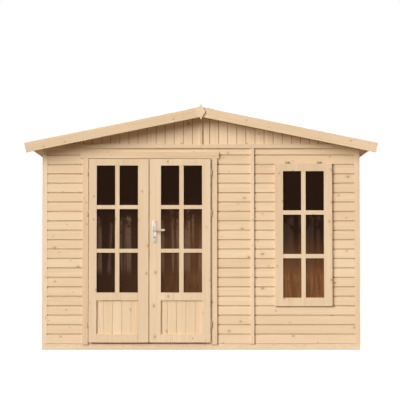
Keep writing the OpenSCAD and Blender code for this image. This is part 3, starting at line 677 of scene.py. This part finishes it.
def roof_covering():
    """Tabs in courses on both slopes, trimmed at the eaves, the ends and the ridge."""
    pitch = 333 * MM
    n_courses = math.ceil(EAVE_X / math.cos(SLOPE_ANGLE) / TAB_EXPOSURE) + 1
    n_tabs = math.ceil(2 * ROOF_Y / pitch) + 2
    # x along the eave becomes Y, and y up the slope runs towards the ridge
    c, s = math.cos(SLOPE_ANGLE), math.sin(SLOPE_ANGLE)
    eave_z = RIDGE - SLOPE * EAVE_X + DECK_RISE
    on_slope = Matrix(((0, -c, s, EAVE_X), (1, 0, 0, 0), (0, s, c, eave_z), (0, 0, 0, 1)))
    cuts = (((EAVE_X, 0, 0), (1, 0, 0)), ((0, ROOF_Y, 0), (0, 1, 0)), ((0, -ROOF_Y, 0), (0, -1, 0)),
            ((0, 0, 0), (-1, 0, 0)))
    for name, node, way, seed in (("shingles_right_slope", "shingles_right", 1, 620),
                                  ("shingles_left_slope", "shingles_left", -1, 640)):
        mesh = grown(tab(), COURSES, Tabs=n_tabs, Courses=n_courses, Pitch=pitch, Exposure=TAB_EXPOSURE, Seed=seed,
                     Finish=SHINGLE)
        # the first course starts below the eave, and is cut there
        turned(mesh, Matrix.Translation((-n_tabs * pitch / 2 + (pitch / 4), -TAB_EXPOSURE, 0)))
        turned(mesh, on_slope)
        trimmed([mesh], *cuts)
        if way < 0:
            turned(mesh, Matrix.Scale(-1, 4, (1, 0, 0)))
        fitted(together([mesh], name), node, slot="shingles")


def ridge_shingles():
    """Caps bent over the ridge, each lapping the one behind it."""
    hi = high("ridge_cap")
    reach = hi.x
    base = hi.z - CAP_RISE
    exposure, length = 155 * MM, 235 * MM
    crest, edge = 10 * MM, 2 * MM
    front_drop, side_drop, crest_drop = 0.8 * MM, 0.6 * MM, 0.5 * MM
    count = math.ceil(2 * ROOF_Y / exposure) + 1
    bm = bmesh.new()
    stations = [0, 3 * MM, length / 2, length]
    rows_top, rows_low = [], []
    for y in stations:
        lift = (3.9 - 2.7 * y / length) * MM
        if y == 0:
            lift -= front_drop
        top, under = [], []
        for x in (-reach, -reach + edge, -reach / 2, -crest, 0, crest, reach / 2, reach - edge, reach):
            z = base - SLOPE * abs(x)
            h = lift - (side_drop if abs(x) == reach else 0)
            if x == 0:
                h -= crest_drop
            top.append(bm.verts.new((x, y, z + h)))
            under.append(bm.verts.new((x, y, z)))
        rows_top.append(top)
        rows_low.append(under)
    n = len(rows_top[0])
    for k in range(len(stations) - 1):
        for i in range(n - 1):
            bm.faces.new((rows_top[k][i], rows_top[k][i + 1], rows_top[k + 1][i + 1], rows_top[k + 1][i]))
            bm.faces.new((rows_low[k][i + 1], rows_low[k][i], rows_low[k + 1][i], rows_low[k + 1][i + 1]))
        for i in (0, n - 1):
            bm.faces.new((rows_low[k][i], rows_top[k][i], rows_top[k + 1][i], rows_low[k + 1][i]))
    for k in (0, len(stations) - 1):
        for i in range(n - 1):
            bm.faces.new((rows_low[k][i], rows_low[k][i + 1], rows_top[k][i + 1], rows_top[k][i]))
    bmesh.ops.recalc_face_normals(bm, faces=bm.faces)
    # 1 on the front and side edges, which get painted shade
    marks = [(v.co.x, v.co.y, 1.0 if v.co.y == 0 or abs(v.co.x) == reach else 0.0) for v in bm.verts]
    mesh = finished(bm, "cap")
    write_tab(mesh, marks)
    mesh.transform(Matrix.Translation((0, -ROOF_Y, 0)))
    result = row(mesh, count, (0, exposure, 0), 680, SHINGLE)
    cut_away(result, (0, ROOF_Y, 0), (0, 1, 0))
    fitted(together([result], "ridge_shingles"), "ridge_cap", slot="shingles")


# ---- Planed joinery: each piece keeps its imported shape, with eased edges and its own grain ----

def islands(bm):
    """The points of each separate solid."""
    seen, groups = set(), []
    for start in bm.verts:
        if start in seen:
            continue
        stack, group = [start], []
        seen.add(start)
        while stack:
            v = stack.pop()
            group.append(v)
            for e in v.link_edges:
                o = e.other_vert(v)
                if o not in seen:
                    seen.add(o)
                    stack.append(o)
        groups.append(group)
    return groups


def ease_edges(bm, edges, width):
    bmesh.ops.bevel(bm, geom=edges, offset=width, segments=2, profile=0.5, affect="EDGES", clamp_overlap=True)


def eased(nodes, ease_mm, seed):
    """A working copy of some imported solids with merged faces, eased edges, and a grain and tone for each solid."""
    flat_angle, sharp_angle = math.radians(0.5), math.radians(28)
    bm = bmesh.new()
    for n in nodes:
        bm.from_mesh(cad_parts[n].data)
    for layer in list(bm.loops.layers.uv):
        bm.loops.layers.uv.remove(layer)
    bmesh.ops.remove_doubles(bm, verts=bm.verts, dist=2e-6)
    bmesh.ops.dissolve_limit(bm, angle_limit=flat_angle, verts=bm.verts, edges=bm.edges)
    if ease_mm:
        sharp = [e for e in bm.edges if len(e.link_faces) == 2 and e.calc_face_angle(0) > sharp_angle]
        ease_edges(bm, sharp, ease_mm * MM)
    grain = bm.verts.layers.float_vector.new("grain")
    tone = bm.verts.layers.float.new("tone")
    chance = random.Random(seed)
    for group in islands(bm):
        edges = [e for v in group for e in v.link_edges]
        longest = max(edges, key=lambda e: round(e.calc_length(), 5))
        along = (longest.verts[1].co - longest.verts[0].co).normalized()
        sides = [Vector((1, 0, 0)), Vector((0, 1, 0)), Vector((0, 0, 1))]
        sides = sorted(sides, key=lambda s: abs(s.dot(along)))[:2]
        sides[0] = (sides[0] - along * sides[0].dot(along)).normalized()
        sides[1] = along.cross(sides[0])

        def spread(d):
            values = [v.co.dot(d) for v in group]
            return max(values) - min(values)
        across = max(sides, key=spread)
        through = along.cross(across)
        middle = sum((v.co for v in group), Vector()) / len(group)
        shift = (chance.uniform(0, 60), chance.uniform(-0.05, 0.05), chance.uniform(0.012, 0.06))
        t = chance.random()
        for v in group:
            p = v.co - middle
            v[grain] = (p.dot(along) + shift[0], p.dot(across) + shift[1], p.dot(through) + shift[2])
            v[tone] = t
    return bm


def joinery(name, nodes, body="shed", finish=WOOD, ease_mm=1.2, slot="cladding", seed=0, round_to=0):
    """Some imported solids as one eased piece. round_to is the angle up to which its faces look round."""
    mesh = finished(eased(nodes, ease_mm, seed), name)
    if round_to:
        mesh.polygons.foreach_set("use_smooth", [True] * len(mesh.polygons))
        mesh.set_sharp_from_angle(angle=math.radians(round_to))
    mesh.materials.clear()
    mesh.materials.append(finish)
    for p in mesh.polygons:
        p.material_index = 0
    return fitted(placed(mesh, name), *nodes, slot=slot, body=body)


def metalwork(name, node, body, finish, slot, seed, ease_mm=0.35):
    """A metal piece: finer edges than the wood, and faces that look round."""
    joinery(name, [node], body, finish, ease_mm, slot, seed, round_to=40)


def frame_and_trim():
    framing = ("floor_bearers", "front_back_plates", "side_plates", "wall_studs", "roof_rafters")
    trims = ("corner_boards", "cover_battens", "gable_rails", "bargeboards_left", "bargeboards_right",
             "fascia_boards", "finials", "door_side_trims", "door_head_trim")
    easing = {"corner_boards": 1.0, "fascia_boards": 1.2}
    for i, name in enumerate(framing + trims):
        finish, slot = (FRAMING, "framing") if name in framing else (WOOD, "cladding")
        joinery(name + "_planed", [name], finish=finish, slot=slot, ease_mm=easing.get(name, 1.5),
                seed=700 + 10 * i)


def threshold():
    """A rounded strip of wood on the floor, behind the foot of the leaves."""
    own_grain = (7.3, 0.01, 0.04)
    a, b = high("front_wall_left").x, low("front_wall_middle").x
    y, t, tall, edge, bend = FACE_Y, 22 * MM, 5 * MM, 2.5 * MM, 0.9 * MM
    section = [(0, 0), (t, 0), (t, tall - edge), (t - bend, tall - bend), (t - edge, tall), (edge, tall),
               (bend, tall - bend), (0, tall - edge)]
    mesh = finished(prism(section, a, b, lambda u, v, w: (w, y + u, FLOOR_TOP + v)), "threshold")
    write_grain(mesh, (1, 0, 0), (0, 1, 0), (0, y + t / 2, FLOOR_TOP), own_grain)
    # the spruce darkened with painted shade, as under the eaves
    mesh.materials.append(SHADE_DARKENED_SPRUCE)
    added(placed(mesh, "threshold_strip"), "shed")


def panel_boards(side, body, seed):
    """Upright boards in the foot of a leaf."""
    node = side + "_door_panel"
    lo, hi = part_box(node)
    count, pitch = 5, 84 * MM
    gap, edge, depth, t = 0.2 * MM, 2.6 * MM, 2.8 * MM, hi.y - lo.y
    # how dark the painted shade in the joints gets, and the depth at which it is full
    shade, full_depth = 0.4, 5 * MM
    start = (lo.x + hi.x) / 2 - count * pitch / 2
    section = [(gap, depth), (edge, 0), (pitch - edge, 0), (pitch - gap, depth), (pitch - gap, t), (gap, t)]
    bm = prism(section, lo.z, hi.z, lambda u, v, w: (start + u, lo.y + v, w))
    mesh = finished(bm, "board")
    write_grain(mesh, (0, 0, 1), (1, 0, 0), (start + pitch / 2, lo.y, lo.z))
    write_joint_shade(mesh, lambda co: shade * joint_depth(co.y - lo.y, full_depth, t))
    result = row(mesh, count, (pitch, 0, 0), seed, BOARDING)
    trimmed([result], (lo, (-1, 0, 0)), (hi, (1, 0, 0)))
    fitted(together([result], side + "_door_boards"), node, body=body)


def door_leaves():
    for side, body, seed in (("left", "left_door", 900), ("right", "right_door", 960)):
        joinery(side + "_door_frame", [side + "_door_stiles", side + "_door_rails"], body, SASH, seed=seed)
        joinery(side + "_door_glazing_bars", [side + "_door_bars"], body, seed=seed + 5, ease_mm=1.5)
        panel_boards(side, body, seed + 9)
        metalwork(side + "_door_hinge_leaves", side + "_door_hinges", body, HINGE, "hinges", seed + 12)
        pane(side + "_door_glass")
    metalwork("handle_backplates", "handle_plates", "right_door", HANDLE, "handle", 1000, ease_mm=0.6)
    metalwork("lever_handle", "door_lever", "door_handle", HANDLE, "handle", 1004, ease_mm=0)
    metalwork("hinge_posts", "door_hinge_posts", "shed", HINGE, "hinges", 1008)


def pane(node):
    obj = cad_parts[node]
    obj.data.materials.clear()
    obj.data.materials.append(GLASS)


def window():
    joinery("window_frame", ["window_stiles", "window_rails"], finish=SASH, seed=1030)
    joinery("window_glazing_bars", ["window_bars"], seed=1040, ease_mm=1.5)
    metalwork("window_hinge_pair", "window_hinges", "shed", HINGE, "hinges", 1050)
    pane("window_glass")


# ---- Nails, screws and the lock ----

# Radius, rise, number of sides, and whether a cross is cut in the head
HEADS = {"nail": (3 * MM, 0.5 * MM, 10, False), "screw": (4.2 * MM, 0.9 * MM, 8, True)}


def disc_head(radius, rise, sides, cross):
    """A low domed head that faces -Y."""
    bm = bmesh.new()

    def ring(radii, y):
        spots = []
        for i in range(sides):
            r, turn = radii[i % len(radii)], 2 * math.pi * i / sides
            spots.append(bm.verts.new((r * math.cos(turn), -y, r * math.sin(turn))))
        return spots

    loops = [ring([radius], 0.0), ring([radius * 0.94], rise * 0.6), ring([radius * 0.62], rise)]
    if cross:
        loops.append(ring([radius * 0.46, radius * 0.16], rise * 0.95))
    for a, b in zip(loops, loops[1:]):
        for i in range(sides):
            j = (i + 1) % sides
            bm.faces.new((a[i], a[j], b[j], b[i]))
    middle = bm.verts.new((0, -rise * (0.35 if cross else 1.04), 0))
    for i in range(sides):
        bm.faces.new((loops[-1][i], loops[-1][(i + 1) % sides], middle))
    bm.faces.new(list(reversed(loops[0])))
    bmesh.ops.recalc_face_normals(bm, faces=bm.faces)
    return finished(bm, "head")


TURNS = {"front": Matrix.Identity(4), "right": Matrix.Rotation(math.pi / 2, 4, "Z"),
         "back": Matrix.Rotation(math.pi, 4, "Z"), "left": Matrix.Rotation(-math.pi / 2, 4, "Z"),
         "up": Matrix.Rotation(-math.pi / 2, 4, "X")}


def heads(kind, facing, start, end, count, seed):
    """Heads in a straight line from start to end, at least two."""
    start, end = Vector(start), Vector(end)
    mesh = turned(disc_head(*HEADS[kind]), Matrix.Translation(start) @ TURNS[facing])
    step = (end - start) / (count - 1)
    return row(mesh, count, step, seed, SCREW)


def shed_nails():
    """Nails in the trims, rails, fascias, bargeboards, window and floor, in lines set in from their edges."""
    parts = []
    seed = 1200

    def line(facing, start, end, count):
        nonlocal seed
        seed += 1
        parts.append(heads("nail", facing, start, end, count, seed))

    half_board, half_batten, from_edge, from_end = 23 * MM, 17.5 * MM, 20 * MM, 50 * MM
    two_ways = ((-1, "front"), (1, "back"))
    hi = high("corner_boards")
    z0, z1 = low("corner_boards").z + 60 * MM, WALL_TOP - from_end
    for sx, side in ((-1, "left"), (1, "right")):
        for sy, facing in two_ways:
            x, y = sx * (hi.x - half_board), sy * hi.y
            line(facing, (x, y, z0), (x, y, z1), 6)
            x, y = sx * hi.x, sy * (hi.y - half_board)
            line(side, (x, y, z0), (x, y, z1), 6)
    x, batten_y = high("cover_battens").x - half_batten, low("cover_battens").y
    line("front", (x, batten_y, z0), (x, batten_y, z1), 7)
    lo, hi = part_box("gable_rails")
    x, z = hi.x - 60 * MM, (lo.z + hi.z) / 2
    for sy, facing in two_ways:
        y = sy * -batten_y
        line(facing, (0, y, z + 60 * MM), (0, y, z + 200 * MM), 2)
        line(facing, (-x, sy * hi.y, z), (x, sy * hi.y, z), 7)
    lo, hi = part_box("door_side_trims")
    for x in (lo.x + from_edge, hi.x - from_edge):
        line("front", (x, lo.y, lo.z + 70 * MM), (x, lo.y, hi.z - from_end), 6)
    lo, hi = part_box("door_head_trim")
    z = (lo.z + hi.z) / 2
    line("front", (lo.x + from_end, lo.y, z), (hi.x - from_end, lo.y, z), 6)
    lo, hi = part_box("window_stiles")
    for x in (lo.x + from_edge, hi.x - from_edge):
        line("front", (x, lo.y, lo.z + from_end), (x, lo.y, hi.z - from_end), 5)
    lo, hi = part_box("fascia_boards")
    z = (lo.z + hi.z) / 2
    for side, x in (("right", hi.x), ("left", lo.x)):
        line(side, (x, lo.y + from_end, z), (x, hi.y - from_end, z), 7)
    lo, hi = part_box("bargeboards_right")
    near, far = 160 * MM, 1520 * MM
    tall = hi.z - lo.z - SLOPE * hi.x
    for sx in (-1, 1):
        for sy, facing in two_ways:
            for share in (0.3, 0.7):
                y, z = sy * hi.y, hi.z - tall * share
                line(facing, (sx * near, y, z - SLOPE * near), (sx * far, y, z - SLOPE * far), 4)
    lo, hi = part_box("floor_deck")
    half_pitch = (hi.x - lo.x) / FLOOR_BOARDS / 2
    outer_bearer, inner_bearer = 1.0, 0.532
    for y in (-outer_bearer, -inner_bearer, 0.0, inner_bearer, outer_bearer):
        line("up", (lo.x + half_pitch, y, hi.z), (hi.x - half_pitch, y, hi.z), FLOOR_BOARDS)
    added(together(parts, "nails"), "shed")


def handle_fixings():
    """Two screws in each backplate, and the round-headed lock under the lever."""
    lo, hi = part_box("handle_plates")
    x, inset = (lo.x + hi.x) / 2, 13 * MM
    parts = [heads("screw", "front", (x, lo.y, lo.z + inset), (x, lo.y, hi.z - inset), 2, 1300),
             heads("screw", "back", (x, hi.y, lo.z + inset), (x, hi.y, hi.z - inset), 2, 1301)]
    added(together(parts, "handle_screws"), "right_door")

    # a round head with a narrower round tail below it
    z, head_r, tail_r, tail_z = lo.z + 52 * MM, 8.5 * MM, 5 * MM, -2.5 * MM
    head_start, head_arc, head_steps = -52, 284, 16
    tail_step = 30
    outline = []
    for i in range(head_steps + 1):
        turn = math.radians(head_start + i * head_arc / head_steps)
        outline.append((head_r * math.cos(turn), head_r * math.sin(turn)))
    outline.append((-tail_r, tail_z))
    for angle in range(180 + tail_step, 360, tail_step):
        turn = math.radians(angle)
        outline.append((tail_r * math.cos(turn), tail_z + tail_r * math.sin(turn)))
    outline.append((tail_r, tail_z))
    key = [(-1.1, -3.2), (1.1, -3.2), (1.1, 3.0), (0.4, 3.4), (-0.4, 3.4), (-1.1, 3.0)]
    proud, sunk, key_proud, key_sunk = 1.2 * MM, 1 * MM, 0.25 * MM, 0.1 * MM
    parts = []
    for face, way in ((lo.y, -1), (hi.y, 1)):
        out = face + way * proud
        ends = sorted((out, face - way * sunk))
        bm = prism(outline, *ends, lambda u, v, w: (x + u, w, z + v))
        ease_edges(bm, [e for e in bm.edges if e.calc_face_angle(0) > math.radians(60)], 0.4 * MM)
        parts.append(finished(bm, "lock"))
        ends = sorted((out + way * key_proud, out - way * key_sunk))
        bm = prism([(u * MM, v * MM) for u, v in key], *ends, lambda u, v, w: (x + u, w, z + v))
        parts.append(finished(bm, "keyway"))
    for mesh in parts:
        mesh.materials.append(LOCK)
    added(together(parts, "lock_cylinder"), "right_door")


wall_cladding()
gable_boarding()
floor_boards()
roof_boards()
roof_covering()
ridge_shingles()
frame_and_trim()
threshold()
door_leaves()
window()
shed_nails()
handle_fixings()


# ---- Floor, light and camera ----

WHITE = (1.0, 1.0, 1.0, 1.0)


def seen_directly(tree):
    """1 for rays that show a surface to the viewer, 0 for those that only carry its light to others."""
    ray = put(tree, "ShaderNodeLightPath").outputs
    mirrored = calc(tree, "MAXIMUM", ray["Is Glossy Ray"], ray["Is Transmission Ray"])
    return calc(tree, "MAXIMUM", ray["Is Camera Ray"], mirrored)


def studio():
    """A pale floor, a pale world that lights warmly, and three soft suns."""
    floor = bpy.data.meshes.new("studio_floor")
    reach = 40.0
    corners = [(-reach, -reach, 0), (reach, -reach, 0), (reach, reach, 0), (-reach, reach, 0)]
    floor.from_pydata(corners, [], [(0, 1, 2, 3)])
    material, tree, shader = blank("Pale floor")
    shader.inputs["Base Color"].default_value = (0.19, 0.165, 0.135, 1.0)
    shader.inputs["Roughness"].default_value = 0.9
    shader.inputs["Specular IOR Level"].default_value = 0.0
    seen = seen_directly(tree)
    tree.links.new(blend(tree, seen, (1.0, 0.76, 0.42, 1.0), WHITE), shader.inputs["Emission Color"])
    tree.links.new(calc(tree, "MULTIPLY_ADD", seen, 0.88, 0.05), shader.inputs["Emission Strength"])
    floor.materials.append(material)
    placed(floor, "studio_floor")

    world = bpy.data.worlds.new("Studio")
    bpy.context.scene.world = world
    world.use_nodes = True
    tree = world.node_tree
    back = tree.nodes["Background"]
    seen = seen_directly(tree)
    tree.links.new(blend(tree, seen, (1.0, 0.79, 0.44, 1.0), WHITE), back.inputs["Color"])
    tree.links.new(calc(tree, "MULTIPLY_ADD", seen, 0.9, 0.1), back.inputs["Strength"])

    for name, energy, spread, way in (("Key", 3.3, 36, (0.78, 1.0, -0.46)),
                                      ("Back fill", 2.2, 60, (-0.7, -1.0, -0.8)),
                                      ("Right fill", 1.3, 40, (-0.8, 0.1, -0.9))):
        sun = bpy.data.lights.new(name, "SUN")
        sun.energy = energy
        sun.angle = math.radians(spread)
        lamp = bpy.data.objects.new(name, sun)
        lamp.rotation_euler = Vector(way).to_track_quat("-Z", "Y").to_euler()
        bpy.context.scene.collection.objects.link(lamp)


def camera():
    lens = bpy.data.cameras.new("Camera")
    lens.lens = 138.0
    lens.sensor_width = 36.0
    lens.clip_end = 200.0
    eye = bpy.data.objects.new("Camera", lens)
    eye.location = (0.018, -15.1, 0.744)
    eye.rotation_euler = (math.radians(92.54), 0, math.radians(0.112))
    bpy.context.scene.collection.objects.link(eye)
    bpy.context.scene.camera = eye


studio()
camera()
bpy.context.scene.view_settings.view_transform = "Standard"
